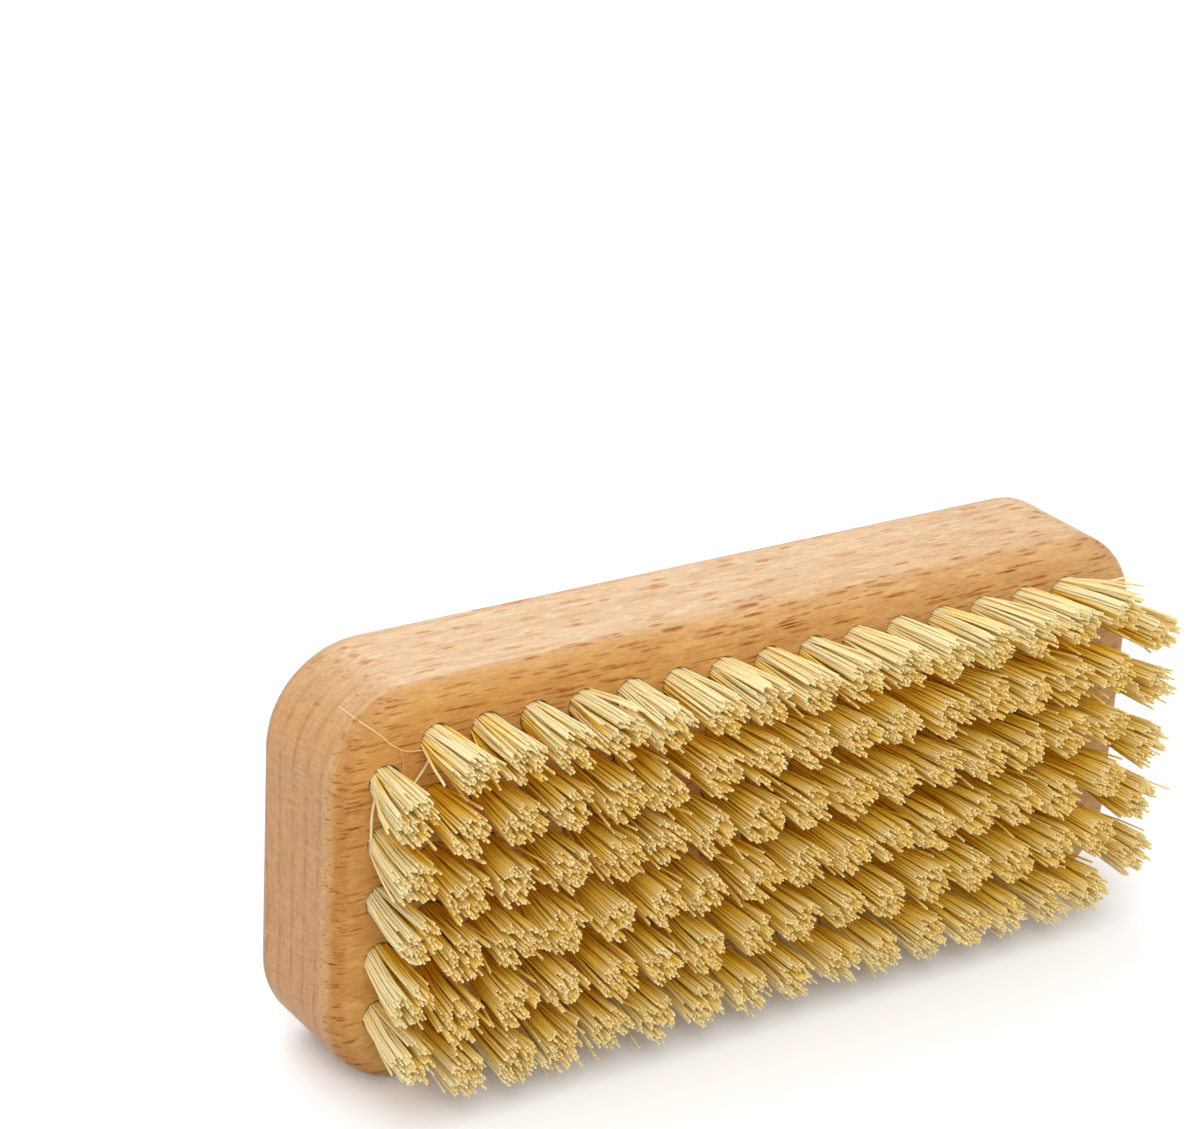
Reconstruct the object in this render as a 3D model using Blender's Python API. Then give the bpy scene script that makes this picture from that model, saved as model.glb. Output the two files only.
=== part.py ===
"""Wooden nail brush.

A one-piece beech block is drilled with blind holes. Each hole takes a tuft of stiff plant fibre, folded
in two over a flat anchor wire that is driven to the bottom of the hole and bites into its wall.

The brush is modelled face up: X runs along the block, Y across it, and the bristle face is the plane
Z = 0. One empty then lays the whole brush on its long side, with its tufts pointing to -Y, and puts the
origin under the middle of its box. Tufts are made two by two (the odd one of an end column makes a
three), each set joined by the slice of wood between its holes, which lies flush in the bristle face.
"""

import math

import bmesh
import bpy
from mathutils import Matrix, Vector

# Block, in metres
BLOCK_LENGTH = 0.095
BLOCK_WIDTH = 0.041
BLOCK_THICKNESS = 0.014
CORNER_RADIUS = 0.0095
BACK_EDGE_RADIUS = 0.0011
FACE_EDGE_RADIUS = 0.0022
BACK_WALL = 0.0045

# Pattern of the drilled holes: the two end columns have one hole less, half a row further in
COLUMNS = 17
ROWS = 6
END_MARGIN = 0.0051
SIDE_MARGIN = 0.0053
HOLE_DIAMETER = 0.0032

# Anchor wire: flat, set on edge across the hole, with its ends in the wood
WIRE_THICKNESS = 0.0004
WIRE_HEIGHT = 0.0009
WIRE_BITE = 0.0003

# Tuft: a folded root in the hole, parting into strands just above the face
BRISTLE_LENGTH = 0.0086
PARTING_HEIGHT = 0.0004
FOLD_THICKNESS = 0.0009
TIP_GAP = 0.0011
STRAND_GAP = 0.0004
TIP_SPREAD_SHARE = 0.03
TUFTS_PER_SET = 2

# Slice of the face between the holes of one set of tufts
SLICE_WIDTH = 0.001
SLICE_DEPTH = 0.0012

# Clearance between separate pieces, and how far a cutter runs past the surface it opens
CLEARANCE = 0.0003
OVERRUN = 0.001

# Facets
CORNER_SEGMENTS = 8
BACK_EDGE_SEGMENTS = 2
FACE_EDGE_SEGMENTS = 3
HOLE_SIDES = 10
ROOT_SIDES = 6
CIRCULAR_PROFILE_SHARE = 0.5
SHARP_ANGLE = math.radians(40)

# Worked out from the sizes above
COLUMN_PITCH = (BLOCK_LENGTH - 2 * END_MARGIN) / (COLUMNS - 1)
ROW_PITCH = (BLOCK_WIDTH - 2 * SIDE_MARGIN) / (ROWS - 1)
HOLE_DEPTH = BLOCK_THICKNESS - BACK_WALL
HOLE_RADIUS = HOLE_DIAMETER / 2
ROOT_RADIUS = HOLE_RADIUS * math.cos(math.pi / HOLE_SIDES) - CLEARANCE
ROOT_DEPTH = HOLE_DEPTH - CLEARANCE
WIRE_DEPTH = ROOT_DEPTH - FOLD_THICKNESS - CLEARANCE - WIRE_HEIGHT / 2
TIP_RADIUS = (min(COLUMN_PITCH, ROW_PITCH) - TIP_GAP) / 2
TIP_SCALE = (TIP_RADIUS - STRAND_GAP) / ROOT_RADIUS


def clear_scene():
    """Remove the objects of the open scene."""
    for scene_object in list(bpy.data.objects):
        bpy.data.objects.remove(scene_object, do_unlink=True)


def make_collection(name):
    """Add a collection to the scene and return it."""
    collection = bpy.data.collections.new(name)
    bpy.context.scene.collection.children.link(collection)
    return collection


def make_material(name, colour, roughness):
    """Return a non-metallic material of one colour."""
    material = bpy.data.materials.new(name)
    material.use_nodes = True
    shader = material.node_tree.nodes["Principled BSDF"]
    shader.inputs["Base Color"].default_value = (*colour, 1.0)
    shader.inputs["Roughness"].default_value = roughness
    shader.inputs["Metallic"].default_value = 0.0
    material.diffuse_color = (*colour, 1.0)
    return material


def make_object(name, shape, collection, materials, frame):
    """Turn a bmesh into an object that hangs on the brush's frame."""
    mesh = bpy.data.meshes.new(name)
    shape.to_mesh(mesh)
    shape.free()
    mesh.shade_smooth()
    mesh.set_sharp_from_angle(angle=SHARP_ANGLE)
    for material in materials:
        mesh.materials.append(material)
    made = bpy.data.objects.new(name, mesh)
    collection.objects.link(made)
    made.parent = frame
    return made


def make_tool(name, shape, collection, materials, frame):
    """Make an object that only cuts or joins others."""
    tool = make_object(name, shape, collection, materials, frame)
    tool.hide_render = True
    tool.display_type = "WIRE"
    return tool


def apply_tool(target, tool, operation):
    """Cut the target with the tool, or join the tool to it."""
    modifier = target.modifiers.new(tool.name, "BOOLEAN")
    modifier.operation = operation
    modifier.solver = "EXACT"
    modifier.material_mode = "TRANSFER"
    modifier.object = tool


def add_box(shape, centre, size):
    """Add a box to a bmesh."""
    place = Matrix.Translation(centre) @ Matrix.Diagonal((*size, 1.0))
    return bmesh.ops.create_cube(shape, size=1.0, matrix=place)["verts"]


def add_prism(shape, x, y, low, high, radius, sides):
    """Add an upright prism whose flat sides face along Y."""
    half_side = Matrix.Rotation(math.pi / sides, 4, "Z")
    place = Matrix.Translation((x, y, (low + high) / 2)) @ half_side
    made = bmesh.ops.create_cone(
        shape, cap_ends=True, segments=sides, radius1=radius, radius2=radius,
        depth=high - low, matrix=place)
    return made["verts"]


def column_x(column):
    """Return a column's place along the block."""
    return (column - (COLUMNS - 1) / 2) * COLUMN_PITCH


def column_ys(column):
    """Return the places of a column's holes across the block, from -Y to +Y."""
    count = ROWS - 1 if column in (0, COLUMNS - 1) else ROWS
    return [(row - (count - 1) / 2) * ROW_PITCH for row in range(count)]


def tuft_sets():
    """Yield the column, the number within it and the hole places of each set of tufts."""
    for column in range(COLUMNS):
        places = column_ys(column)
        starts = list(range(0, len(places) - 1, TUFTS_PER_SET))
        ends = starts[1:] + [len(places)]
        for number, (start, end) in enumerate(zip(starts, ends)):
            yield column, number, places[start:end]


def round_edges(shape, edges, radius, segments):
    """Round edges of a bmesh with a circular arc."""
    bmesh.ops.bevel(
        shape, geom=edges, offset=radius, offset_type="OFFSET", segments=segments,
        profile=CIRCULAR_PROFILE_SHARE, affect="EDGES", clamp_overlap=True)


def edges_at(shape, height):
    """Return the edges that lie in one level plane."""
    return [edge for edge in shape.edges
            if all(abs(vert.co.z - height) < CLEARANCE for vert in edge.verts)]


def make_block(collection, beech, frame):
    """Make the undrilled block, with its soft edge round the face and its small edge at the back."""
    shape = bmesh.new()
    size = (BLOCK_LENGTH, BLOCK_WIDTH, BLOCK_THICKNESS)
    add_box(shape, Vector((0, 0, -BLOCK_THICKNESS / 2)), size)
    upright = [edge for edge in shape.edges if abs(edge.verts[0].co.z - edge.verts[1].co.z) > CLEARANCE]
    round_edges(shape, upright, CORNER_RADIUS, CORNER_SEGMENTS)
    round_edges(shape, edges_at(shape, -BLOCK_THICKNESS), BACK_EDGE_RADIUS, BACK_EDGE_SEGMENTS)
    round_edges(shape, edges_at(shape, 0), FACE_EDGE_RADIUS, FACE_EDGE_SEGMENTS)
    return make_object("block", shape, collection, [beech], frame)


def make_hole_cutter(collection, beech, frame):
    """Make the drilled holes."""
    shape = bmesh.new()
    for column in range(COLUMNS):
        for y in column_ys(column):
            add_prism(shape, column_x(column), y, -HOLE_DEPTH, OVERRUN, HOLE_RADIUS, HOLE_SIDES)
    return make_tool("holes", shape, collection, [beech], frame)


def make_groove_cutter(collection, beech, frame):
    """Make the grooves of the face that the slices lie in."""
    shape = bmesh.new()
    width = SLICE_WIDTH + 2 * CLEARANCE
    depth = SLICE_DEPTH + CLEARANCE
    for column, _, places in tuft_sets():
        centre = Vector((column_x(column), (places[0] + places[-1]) / 2, (OVERRUN - depth) / 2))
        add_box(shape, centre, (width, places[-1] - places[0], depth + OVERRUN))
    return make_tool("grooves", shape, collection, [beech], frame)


def make_anchors(collection, beech, frame):
    """Make the anchor wires, one across each hole."""
    shape = bmesh.new()
    size = (WIRE_THICKNESS, HOLE_DIAMETER + 2 * WIRE_BITE, WIRE_HEIGHT)
    for column in range(COLUMNS):
        for y in column_ys(column):
            add_box(shape, Vector((column_x(column), y, -WIRE_DEPTH)), size)
    return make_tool("anchors", shape, collection, [beech], frame)


def split_root(shape, root_verts, turn):
    """Part the top of a root into wedges round its axis, and return them.

    One of the spokes between the wedges is left out, which one depending on turn, so that the
    wedges aren't all alike.
    """
    faces = {face for vert in root_verts for face in vert.link_faces}
    top = max(faces, key=lambda face: face.calc_center_median().z)
    axis_vert = bmesh.ops.poke(shape, faces=[top])["verts"][0]
    spokes = sorted(axis_vert.link_edges, key=lambda edge: spoke_angle(edge, axis_vert))
    bmesh.ops.dissolve_edges(shape, edges=[spokes[turn % len(spokes)]], use_verts=False)
    return axis_vert, list(axis_vert.link_faces)


def spoke_angle(edge, axis_vert):
    """Return the direction in which an edge leaves the axis."""
    way = edge.other_vert(axis_vert).co - axis_vert.co
    return math.atan2(way.y, way.x)


def add_tuft(shape, x, y, lean, turn):
    """Add one tuft: its root down the hole and its strands, which flare to the trimmed tips."""
    root_verts = add_prism(shape, x, y, -ROOT_DEPTH, PARTING_HEIGHT, ROOT_RADIUS, ROOT_SIDES)
    axis_vert, wedges = split_root(shape, root_verts, turn)
    axis = axis_vert.co.copy()
    rise = Vector((0, 0, BRISTLE_LENGTH - PARTING_HEIGHT))
    for tip in bmesh.ops.extrude_discrete_faces(shape, faces=wedges)["faces"]:
        outward = (tip.calc_center_median() - axis).normalized()
        for vert in tip.verts:
            vert.co = axis + (vert.co - axis) * TIP_SCALE + outward * STRAND_GAP + lean + rise


def make_tuft_set(column, number, places, collection, tools, fibre, beech, frame):
    """Make the tufts of one set, with their slice, each root folded round its anchor wire."""
    name = f"tufts_{column + 1:02d}_{number + 1}"
    x = column_x(column)
    tufts = bmesh.new()
    slots = bmesh.new()
    slot_size = (WIRE_THICKNESS + 2 * CLEARANCE, HOLE_DIAMETER, WIRE_HEIGHT + 2 * CLEARANCE)
    for index, y in enumerate(places):
        lean = Vector((x, y, 0)) * TIP_SPREAD_SHARE
        add_tuft(tufts, x, y, lean, 2 * column + number + index)
        add_box(slots, Vector((x, y, -WIRE_DEPTH)), slot_size)
    face_slice = bmesh.new()
    centre = Vector((x, (places[0] + places[-1]) / 2, -SLICE_DEPTH / 2))
    add_box(face_slice, centre, (SLICE_WIDTH, places[-1] - places[0], SLICE_DEPTH))

    made = make_object(name, tufts, collection, [fibre, beech], frame)
    apply_tool(made, make_tool(name + "_slice", face_slice, tools, [beech], frame), "UNION")
    apply_tool(made, make_tool(name + "_wire_slots", slots, tools, [fibre], frame), "DIFFERENCE")


def main():
    """Build the brush."""
    clear_scene()
    parts = make_collection("nail_brush")
    tools = make_collection("cutters")
    beech = make_material("beech", (0.62, 0.39, 0.21), 0.55)
    fibre = make_material("fibre", (0.72, 0.58, 0.31), 0.6)

    frame = bpy.data.objects.new("brush_frame", None)
    parts.objects.link(frame)
    frame.location = (0, (BRISTLE_LENGTH - BLOCK_THICKNESS) / 2, BLOCK_WIDTH / 2)
    frame.rotation_euler = (math.radians(90), 0, 0)

    block = make_block(parts, beech, frame)
    apply_tool(block, make_hole_cutter(tools, beech, frame), "DIFFERENCE")
    apply_tool(block, make_groove_cutter(tools, beech, frame), "DIFFERENCE")
    apply_tool(block, make_anchors(tools, beech, frame), "UNION")
    for column, number, places in tuft_sets():
        make_tuft_set(column, number, places, parts, tools, fibre, beech, frame)


main()
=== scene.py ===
"""Looks of the wooden nail brush.

The beech block, the flat anchor wires and the tufts of folded plant fibre stand for the CAD nodes of
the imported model. Each sub-assembly is a class that builds its meshes and dresses them. The brush is
shaped face up, as in the CAD source: X runs along the block, Y across it, and the bristle face is the
plane Z = 0. One matrix then lays every mesh on its long side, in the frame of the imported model.
"""

import logging
import math
import random
from collections.abc import Iterator
from dataclasses import dataclass, field
from enum import Enum

import bmesh
import bpy
from mathutils import Matrix, Quaternion, Vector


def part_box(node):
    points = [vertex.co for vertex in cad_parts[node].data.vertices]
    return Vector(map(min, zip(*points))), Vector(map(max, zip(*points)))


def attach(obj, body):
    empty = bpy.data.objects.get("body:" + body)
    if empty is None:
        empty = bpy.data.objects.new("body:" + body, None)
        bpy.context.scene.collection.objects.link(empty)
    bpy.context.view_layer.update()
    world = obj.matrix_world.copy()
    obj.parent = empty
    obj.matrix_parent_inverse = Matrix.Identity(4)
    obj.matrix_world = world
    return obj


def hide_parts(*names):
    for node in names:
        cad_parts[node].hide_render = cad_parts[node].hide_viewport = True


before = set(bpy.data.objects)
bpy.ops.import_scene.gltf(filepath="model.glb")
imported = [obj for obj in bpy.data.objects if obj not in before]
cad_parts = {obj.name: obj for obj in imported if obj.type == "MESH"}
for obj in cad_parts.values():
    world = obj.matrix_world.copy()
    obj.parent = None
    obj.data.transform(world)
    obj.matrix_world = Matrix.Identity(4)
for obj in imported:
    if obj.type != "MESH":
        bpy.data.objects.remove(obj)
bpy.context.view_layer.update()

LOG = logging.getLogger("nail_brush")
BODY = "root"
MM = 0.001
FIBRE_MAP = "OFBake"
VERT_LAYERS = ("fibre", "ring", "side")
# Heights on the fibre map, which runs from the fold, 0, to the cut end, below 1.
MAP_WIRE = 0.08
MAP_THROAT = 0.48
MAP_MOUTH = 0.5
MAP_FREE = 0.43
GOLDEN_ANGLE = math.pi * (3 - math.sqrt(5))
WHITE = (1.0, 1.0, 1.0)

Socket = bpy.types.NodeSocket
Source = Socket | float | int | tuple
Material = bpy.types.Material
Shape = bmesh.types.BMesh
Piece = bpy.types.Object
Triple = tuple[float, float, float]
Pair = tuple[float, float]
Span = tuple[float, float, float, float]


class Slot(Enum):
    """Material slots of the record."""

    BEECH = "beech"
    FIBRE = "fibre"


class Maths(Enum):
    """Operations of the Math and Vector Math nodes that the materials use."""

    ADD = "ADD"
    SUBTRACT = "SUBTRACT"
    MULTIPLY = "MULTIPLY"
    DIVIDE = "DIVIDE"
    MULTIPLY_ADD = "MULTIPLY_ADD"
    ABSOLUTE = "ABSOLUTE"
    SINE = "SINE"
    FLOOR = "FLOOR"
    MAXIMUM = "MAXIMUM"
    GREATER_THAN = "GREATER_THAN"


class Blending(Enum):
    """Ways of blending one colour over another."""

    OVER = "MIX"
    TIMES = "MULTIPLY"


class SocketKind(Enum):
    """Kinds of socket on a node group."""

    VALUE = "NodeSocketFloat"
    VECTOR = "NodeSocketVector"


class Wiring:
    """Adds and joins the nodes of one tree."""

    def __init__(self, tree: bpy.types.NodeTree) -> None:
        """Work on a tree."""
        self.tree = tree

    def feed(self, socket: Socket, source: Source) -> None:
        """Join a socket to another one, or set its own value.

        Args:
            socket: The input that is fed.
            source: Another node's output, a number, a vector or a colour.
        """
        if isinstance(source, Socket):
            self.tree.links.new(source, socket)
        elif socket.type == "RGBA":
            socket.default_value = (*source, 1.0)
        else:
            socket.default_value = source

    def node(self, kind: str, sources: dict[str | int, Source], **settings: object) -> bpy.types.Node:
        """Add a node.

        Args:
            kind: Blender's name for the kind of node.
            sources: What feeds each input, by its name or its number.
            **settings: Properties of the node.

        Returns:
            The new node.
        """
        made = self.tree.nodes.new(kind)
        for name, value in settings.items():
            setattr(made, name, value)
        for key, source in sources.items():
            self.feed(made.inputs[key], source)
        return made

    def maths(self, operation: Maths, *terms: Source, clamp: bool = False) -> Socket:
        """Add a Math node.

        Args:
            operation: What it works out.
            *terms: Its terms.
            clamp: Whether the value is kept within 0 and 1.

        Returns:
            The value's socket.
        """
        return self.node(
            "ShaderNodeMath", dict(enumerate(terms)), operation=operation.value,
            use_clamp=clamp).outputs[0]

    def times(self, first: Source, second: Source) -> Socket:
        """Multiply two values."""
        return self.maths(Maths.MULTIPLY, first, second)

    def line(self, value: Source, slope: Source, start: Source, clamp: bool = False) -> Socket:
        """Multiply a value by a slope and add the start."""
        return self.maths(Maths.MULTIPLY_ADD, value, slope, start, clamp=clamp)

    def vector(self, operation: Maths, *terms: Source) -> Socket:
        """Add a Vector Math node and return its vector."""
        made = self.node("ShaderNodeVectorMath", dict(enumerate(terms)), operation=operation.value)
        return made.outputs[0]

    def split(self, vector: Source) -> tuple[Socket, ...]:
        """Return a vector's three parts."""
        return tuple(self.node("ShaderNodeSeparateXYZ", {0: vector}).outputs)

    def join(self, *parts: Source) -> Socket:
        """Return the vector that has these three parts."""
        return self.node("ShaderNodeCombineXYZ", dict(enumerate(parts))).outputs[0]

    def turn(self, vector: Source, degrees: float, axis: str) -> Socket:
        """Turn a vector about an axis.

        Args:
            vector: The vector.
            degrees: How far it turns.
            axis: X, Y or Z.

        Returns:
            The turned vector's socket.
        """
        return self.node(
            "ShaderNodeVectorRotate", {"Vector": vector, "Angle": math.radians(degrees)},
            rotation_type=f"{axis}_AXIS").outputs[0]

    def grey(self, value: Source) -> Socket:
        """Return a value as a grey colour."""
        return self.node("ShaderNodeCombineColor", dict.fromkeys(range(3), value)).outputs[0]

    def noise(self, vector: Source, detail: float = 2.0) -> bpy.types.Node:
        """Add a noise texture with so many finer layers."""
        return self.node("ShaderNodeTexNoise", {"Vector": vector, "Scale": 1.0, "Detail": detail})

    def span(
        self, value: Source, low: Source, high: Source, to_low: Source = 0.0, to_high: Source = 1.0,
        smooth: bool = False,
    ) -> Socket:
        """Carry a value from one range to another, kept within the new one.

        Args:
            value: The value.
            low: Low end of its range.
            high: High end of its range.
            to_low: What the low end becomes.
            to_high: What the high end becomes.
            smooth: Whether the course between the ends is a soft S.

        Returns:
            The result's socket.
        """
        return self.node(
            "ShaderNodeMapRange",
            {"Value": value, "From Min": low, "From Max": high, "To Min": to_low, "To Max": to_high},
            interpolation_type="SMOOTHSTEP" if smooth else "LINEAR", clamp=True).outputs["Result"]

    def colour(self, share: Source, first: Source, second: Source, way: Blending = Blending.OVER) -> Socket:
        """Blend two colours.

        Args:
            share: How much of the second shows.
            first: The colour beneath.
            second: The colour above.
            way: How the second is laid over the first.

        Returns:
            The blended colour's socket.
        """
        return self.node(
            "ShaderNodeMix", {0: share, 6: first, 7: second}, data_type="RGBA",
            blend_type=way.value).outputs[2]

    def seen(self) -> Socket:
        """Tell rays that look, from the camera, a gloss or clear glass, from light that only falls.

        Returns:
            1 for the rays that look, and 0 for the others.
        """
        path = self.node("ShaderNodeLightPath", {}).outputs
        through = self.maths(Maths.MAXIMUM, path["Is Glossy Ray"], path["Is Transmission Ray"])
        return self.maths(Maths.MAXIMUM, path["Is Camera Ray"], through)


class Surface(Wiring):
    """Wires one material, whose shader it holds."""

    def __init__(self, name: str) -> None:
        """Start a material.

        Args:
            name: Its name.
        """
        self.material = bpy.data.materials.new(name)
        self.material.use_nodes = True
        super().__init__(self.material.node_tree)
        self.shader = self.tree.nodes["Principled BSDF"]

    def own(self) -> Socket:
        """Return the object's own coordinates."""
        return self.node("ShaderNodeTexCoord", {}).outputs["Object"]

    def own_mm(self) -> Socket:
        """Return the object's own coordinates in millimetres."""
        return self.vector(Maths.MULTIPLY, self.own(), (1 / MM, 1 / MM, 1 / MM))

    def dress(self, colour: Source, roughness: Source, height: Source, bump: Pair) -> Material:
        """Feed the shader.

        Args:
            colour: The base colour.
            roughness: The roughness.
            height: What the bump follows.
            bump: The bump's strength, and its height in millimetres.

        Returns:
            The finished material.
        """
        raised = self.node(
            "ShaderNodeBump", {"Strength": bump[0], "Distance": bump[1] * MM, "Height": height})
        sources = {"Base Color": colour, "Roughness": roughness, "Normal": raised.outputs[0]}
        for name, source in sources.items():
            self.feed(self.shader.inputs[name], source)
        return self.material


@dataclass(frozen=True)
class Threads:
    """Fine lines along X: how fast they change across and along it, and how far their value swings."""

    across: float
    along: float
    depth: float = 0.5


@dataclass(frozen=True)
class Flecks:
    """Short separate marks in wood.

    Attributes:
        size: Room that each mark has along the grain, along the rays and across them, in mm.
        share: Share of the places that hold a mark.
        fill: How much of its room a mark fills.
        strength: Its strength on the sides and ends.
        on_face: Its strength on the round edge and the bristle face.
    """

    size: Triple
    share: float
    fill: float
    strength: float
    on_face: float = 1.0


class Effects:
    """Node groups that the materials share, each built once."""

    spread: Span = (0.3, 0.7, -1.0, 1.0)

    def __init__(self) -> None:
        """Build the groups."""
        self.thread_group = self.make_threads()
        self.fleck_group = self.make_flecks()

    @staticmethod
    def start(name: str, inputs: dict[str, float | Triple], output: str) -> tuple[Wiring, dict, Socket]:
        """Start a node group with named inputs and one output.

        Args:
            name: The group's name.
            inputs: First value of each input, a tuple for a vector.
            output: The output's name.

        Returns:
            The group's wiring, the sockets of its inputs by name, and the socket of its result.
        """
        tree = bpy.data.node_groups.new(name, "ShaderNodeTree")
        for label, value in inputs.items():
            kind = SocketKind.VECTOR if isinstance(value, tuple) else SocketKind.VALUE
            socket = tree.interface.new_socket(label, in_out="INPUT", socket_type=kind.value)
            socket.default_value = value
        tree.interface.new_socket(output, in_out="OUTPUT", socket_type=SocketKind.VALUE.value)
        given = tree.nodes.new("NodeGroupInput").outputs
        result = tree.nodes.new("NodeGroupOutput").inputs[output]
        return Wiring(tree), {label: given[label] for label in inputs}, result

    def make_threads(self) -> bpy.types.NodeTree:
        """Make fine parallel lines along X.

        Returns:
            The group, whose value swings about 0 by the depth.
        """
        wiring, given, result = self.start(
            "threads", {"Vector": (0, 0, 0), "Across": 1.0, "Along": 0.1, "Depth": 0.1}, "Value")
        scales = wiring.join(given["Along"], given["Across"], given["Across"])
        noise = wiring.noise(wiring.vector(Maths.MULTIPLY, given["Vector"], scales))
        wiring.feed(result, wiring.times(wiring.span(noise.outputs[0], *self.spread), given["Depth"]))
        return wiring.tree

    def make_flecks(self) -> bpy.types.NodeTree:
        """Make short separate marks, such as the rays of beech, each with its own size and strength.

        Returns:
            The group, whose mask is 1 in the middle of a strong mark.
        """
        wiring, given, result = self.start(
            "flecks", {"Vector": (0, 0, 0), "Size": (1, 1, 1), "Share": 0.7, "Fill": 0.3}, "Mask")
        weakest = 0.5
        core = 0.6
        place = wiring.vector(Maths.DIVIDE, given["Vector"], given["Size"])
        cells = wiring.node(
            "ShaderNodeTexVoronoi", {"Vector": place, "Scale": 1.0}, voronoi_dimensions="3D").outputs
        draws = wiring.node("ShaderNodeSeparateColor", {"Color": cells["Color"]}).outputs
        size = wiring.span(draws[0], 0.0, given["Share"], weakest, 1.0)
        kept = wiring.times(size, wiring.maths(Maths.GREATER_THAN, given["Share"], draws[0]))
        reach = wiring.times(kept, given["Fill"])
        mark = wiring.span(cells["Distance"], reach, wiring.times(reach, core), smooth=True)
        wiring.feed(result, wiring.times(mark, wiring.span(draws[1], 0.0, 1.0, weakest, 1.0)))
        return wiring.tree

    def threads(self, wiring: Wiring, vector: Source, kind: Threads) -> Socket:
        """Place threads in a material.

        Args:
            wiring: The material's wiring.
            vector: The coordinates that they follow.
            kind: Their size and depth.

        Returns:
            The socket of their value.
        """
        return wiring.node(
            "ShaderNodeGroup",
            {"Vector": vector, "Across": kind.across, "Along": kind.along, "Depth": kind.depth},
            node_tree=self.thread_group).outputs[0]

    def flecks(self, wiring: Wiring, vector: Source, kind: Flecks) -> Socket:
        """Place flecks in a material.

        Args:
            wiring: The material's wiring.
            vector: The coordinates that they follow, in millimetres.
            kind: Their size, share and fill.

        Returns:
            The socket of their mask.
        """
        return wiring.node(
            "ShaderNodeGroup",
            {"Vector": vector, "Size": kind.size, "Share": kind.share, "Fill": kind.fill},
            node_tree=self.fleck_group).outputs[0]


@dataclass(frozen=True)
class Beech:
    """Sanded, unvarnished beech, its grain along X and its growth rings stacked along Y.

    Sizes are in millimetres, because its coordinates are turned into millimetres first. A pace is how
    fast a noise changes along each axis, a span the ends of a range and what they become, and a line a
    slope and what is added to it.
    """

    effects: Effects
    ground: Triple = (0.675, 0.42, 0.225)
    pale: Triple = (0.785, 0.55, 0.335)
    bright: Triple = (0.90, 0.70, 0.46)
    warm_tone_and_shade: Triple = (0.865, 0.67, 0.335)
    corner: Triple = (0.87, 0.77, 0.60)
    ray: Triple = (0.80, 0.49, 0.20)
    dash: Triple = (0.62, 0.42, 0.24)
    ring: Triple = (0.80, 0.71, 0.60)
    end: Triple = (0.64, 0.333, 0.132)
    scratch: Triple = (0.84, 0.64, 0.44)
    # How the grain wanders, and how the rays lean in the end of the block.
    wander_pace: Triple = (0.025, 0.06, 0.05)
    wander_reach: Triple = (0.0, 3.0, 2.8)
    ray_slope_degrees: float = 8.5
    # The lines of the growth rings, their gaps, and how much they show on the sides and the ends.
    ring_pitch: float = 2.4
    ring_span: Pair = (0.55, 1.0)
    ring_gap_pace: Triple = (0.3, 1.0, 0.55)
    ring_gaps: Span = (0.38, 0.6, 0.2, 1.0)
    ring_on_sides: float = 0.4
    ring_on_ends: float = 0.85
    # The long grain: clouds, broad and fine threads, bright strokes, and flecks that break it.
    cloud_pace: Triple = (0.12, 0.40, 0.33)
    cloud_span: Span = (0.3, 0.7, -0.5, 0.5)
    cloud_line: Pair = (-0.65, 0.5)
    broad: Threads = Threads(0.7, 0.12)
    broad_share: float = 0.35
    strokes: Threads = Threads(1.3, 0.33, 1.0)
    stroke_span: Span = (0.1, 0.9, 0.0, 0.4)
    fine: Threads = Threads(4.5, 0.9)
    speck_line: Pair = (0.19, 0.98)
    fleck_line: Pair = (-0.9, 0.95)
    fleck_dent: float = -0.6
    flecks: tuple[Flecks, ...] = (
        Flecks((6.0, 1.7, 0.55), 0.62, 0.40, 0.9),
        Flecks((4.4, 1.15, 0.42), 0.75, 0.38, 0.9),
        Flecks((5.4, 1.2, 0.42), 0.8, 0.40, 0.4),
        Flecks((1.3, 0.5, 0.28), 0.6, 0.40, 0.3, 0.3),
    )
    # The end grain: lines up the end, lines along the rays, and pale scratches.
    end_depth: float = 0.1
    up_lines: tuple[Threads, ...] = (
        Threads(1.1, 0.25, 0.05), Threads(2.4, 0.8, 0.075), Threads(6.0, 3.0, 0.11))
    ray_lines: Threads = Threads(3.4, 0.35, 0.08)
    scratches: tuple[Flecks, ...] = (
        Flecks((8.0, 24.0, 0.5), 0.4, 0.3, 0.55), Flecks((5.0, 9.0, 0.4), 0.4, 0.3, 0.3))
    # The warm bristle face, whose step from the pale side is crisp at one end and soft at the other,
    # and the warm back. On the face the warm tint is partly the wood's tone and partly painted shade
    # and bounce light from the golden tufts.
    face_y: float = -2.7
    back_y: float = 11.3
    round_edge: float = 2.2
    soft_span: Pair = (-20.0, 45.0)
    begin_line: Pair = (9.0, 0.12)
    end_line: Pair = (-1.6, -0.22)
    step_warmth: Pair = (0.68, 0.38)
    rim_warmth: float = 0.32
    rim_from: float = -0.3
    rim_to: float = 0.2
    back_warmth: float = 0.45
    back_from: float = -1.3
    back_to: float = -0.3
    full_flecks: float = 0.6
    no_end_grain: float = 0.5
    # How far the surface has to face along the grain for the corner's tone and the end grain.
    turn_begin: Pair = (0.1, 0.5)
    turn_end: Pair = (0.97, 0.7)
    end_span: Pair = (0.55, 0.95)
    roughness_line: Pair = (-0.08, 0.48)
    gloss: float = 0.3
    bump: Pair = (0.25, 0.05)

    def make(self) -> Material:
        """Make the material."""
        return BeechSurface(self).finish()


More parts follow.
